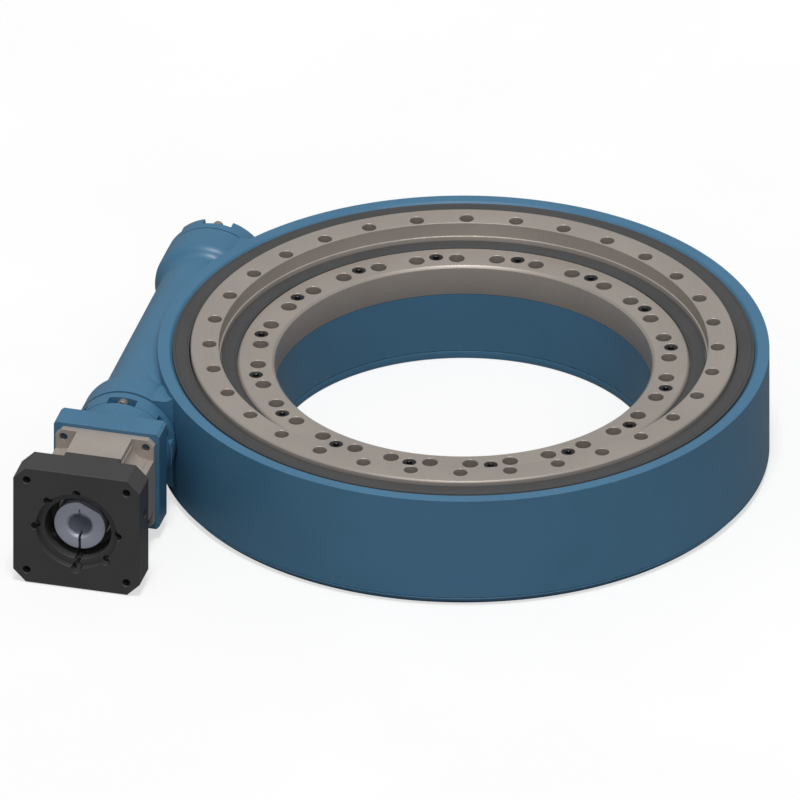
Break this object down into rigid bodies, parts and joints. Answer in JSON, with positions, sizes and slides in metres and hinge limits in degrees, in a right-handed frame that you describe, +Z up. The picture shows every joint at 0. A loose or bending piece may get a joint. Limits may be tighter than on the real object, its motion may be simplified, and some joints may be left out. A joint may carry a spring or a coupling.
{
  "type": "slewing ring bearing",
  "caption": "Enclosed slewing ring bearing with a large open bore, driven by a worm in a side tube through an in-line planetary gearhead with a square motor adapter plate.",
  "frame": {"origin": "bottom face of the base plate, under the centre of the whole object's box; the ring's axis is at x 31.3 mm, y 28.4 mm", "axes": "+Z up along the ring's axis; the worm and gearhead lie along Y on the -X side, with the motor face looking along -Y"},
  "size_m": [0.6699, 0.6642, 0.1305],
  "materials": {
    "housing_paint": "satin blue enamel",
    "ring_steel": "fine turned, warm grey",
    "seal_rubber": "matt dark grey",
    "adapter_black": "black anodised",
    "gearbox_steel": "nickel plated, warm grey",
    "hub_steel": "ground",
    "screw_black": "black oxide",
    "screw_steel": "plain",
    "bearing_steel": "ground",
    "gear_steel": "hardened and ground",
    "wheel_bronze": "cut bronze"
  },
  "bodies": {
    "housing": {"base_plate": "housing_paint", "ring_housing": "housing_paint", "outer_seal": "seal_rubber", "inner_seal": "seal_rubber", "inner_bearing_ring": "ring_steel", "ring_screw_01": "screw_black", "ring_screw_02": "screw_black", "ring_screw_03": "screw_black", "ring_screw_04": "screw_black", "ring_screw_05": "screw_black", "ring_screw_06": "screw_black", "ring_screw_07": "screw_black", "ring_screw_08": "screw_black", "ring_screw_09": "screw_black", "ring_screw_10": "screw_black", "ring_screw_11": "screw_black", "ring_screw_12": "screw_black", "ring_screw_13": "screw_black", "ring_screw_14": "screw_black", "ring_screw_15": "screw_black", "ring_screw_16": "screw_black", "worm_bearing_front": "bearing_steel", "worm_bearing_rear": "bearing_steel", "rear_end_cap": "housing_paint", "rear_cap_screw_1": "screw_steel", "rear_cap_screw_2": "screw_steel", "rear_cap_screw_3": "screw_steel", "rear_cap_screw_4": "screw_steel", "rear_cap_screw_5": "screw_steel", "rear_cap_screw_6": "screw_steel", "adapter_bell": "housing_paint", "bell_screw_1": "screw_steel", "bell_screw_2": "screw_steel", "bell_screw_3": "screw_steel", "bell_screw_4": "screw_steel", "bell_screw_5": "screw_steel", "bell_screw_6": "screw_steel", "gearbox_flange": "housing_paint", "gearbox_body": "gearbox_steel", "ring_gear": "gear_steel", "input_bearing": "bearing_steel", "output_bearing": "bearing_steel", "motor_adapter_plate": "adapter_black", "access_plug": "adapter_black"},
    "turntable": {"rotating_ring": "ring_steel", "worm_wheel": "wheel_bronze"},
    "cage": {"roller_cage": "bearing_steel"},
    "worm_train": {"worm_shaft": "gear_steel", "drive_coupling": "gear_steel", "planet_carrier": "gear_steel"},
    "motor_input": {"clamp_hub": "hub_steel", "clamp_screw": "screw_black", "sun_gear": "gear_steel"},
    "planet_1": {"planet_gear_1": "gear_steel"},
    "planet_2": {"planet_gear_2": "gear_steel"},
    "planet_3": {"planet_gear_3": "gear_steel"}
  },
  "joints": [
    {"name": "turntable_spin", "type": "hinge", "parent": "housing", "child": "turntable", "pos_m": [0.0313, 0.0284, 0.123], "axis": [0, 0, 1], "continuous": true},
    {"name": "cage_spin", "type": "hinge", "parent": "housing", "child": "cage", "pos_m": [0.0313, 0.0284, 0.087], "axis": [0, 0, 1], "continuous": true},
    {"name": "worm_spin", "type": "hinge", "parent": "housing", "child": "worm_train", "pos_m": [-0.2699, 0.0284, 0.0655], "axis": [0, 1, 0], "continuous": true},
    {"name": "motor_input_spin", "type": "hinge", "parent": "housing", "child": "motor_input", "pos_m": [-0.2699, -0.3016, 0.0655], "axis": [0, 1, 0], "continuous": true},
    {"name": "planet_1_spin", "type": "hinge", "parent": "worm_train", "child": "planet_1", "pos_m": [-0.24965, -0.2596, 0.0655], "axis": [0, 1, 0], "continuous": true},
    {"name": "planet_2_spin", "type": "hinge", "parent": "worm_train", "child": "planet_2", "pos_m": [-0.28003, -0.2596, 0.08304], "axis": [0, 1, 0], "continuous": true},
    {"name": "planet_3_spin", "type": "hinge", "parent": "worm_train", "child": "planet_3", "pos_m": [-0.28003, -0.2596, 0.04796], "axis": [0, 1, 0], "continuous": true}
  ],
  "couplings": [
    {"joint": "cage_spin", "follows": "turntable_spin", "ratio": 0.5},
    {"joint": "worm_spin", "follows": "turntable_spin", "ratio": 46},
    {"joint": "motor_input_spin", "follows": "turntable_spin", "ratio": 207},
    {"joint": "planet_1_spin", "follows": "turntable_spin", "ratio": -128.8},
    {"joint": "planet_2_spin", "follows": "turntable_spin", "ratio": -128.8},
    {"joint": "planet_3_spin", "follows": "turntable_spin", "ratio": -128.8}
  ]
}
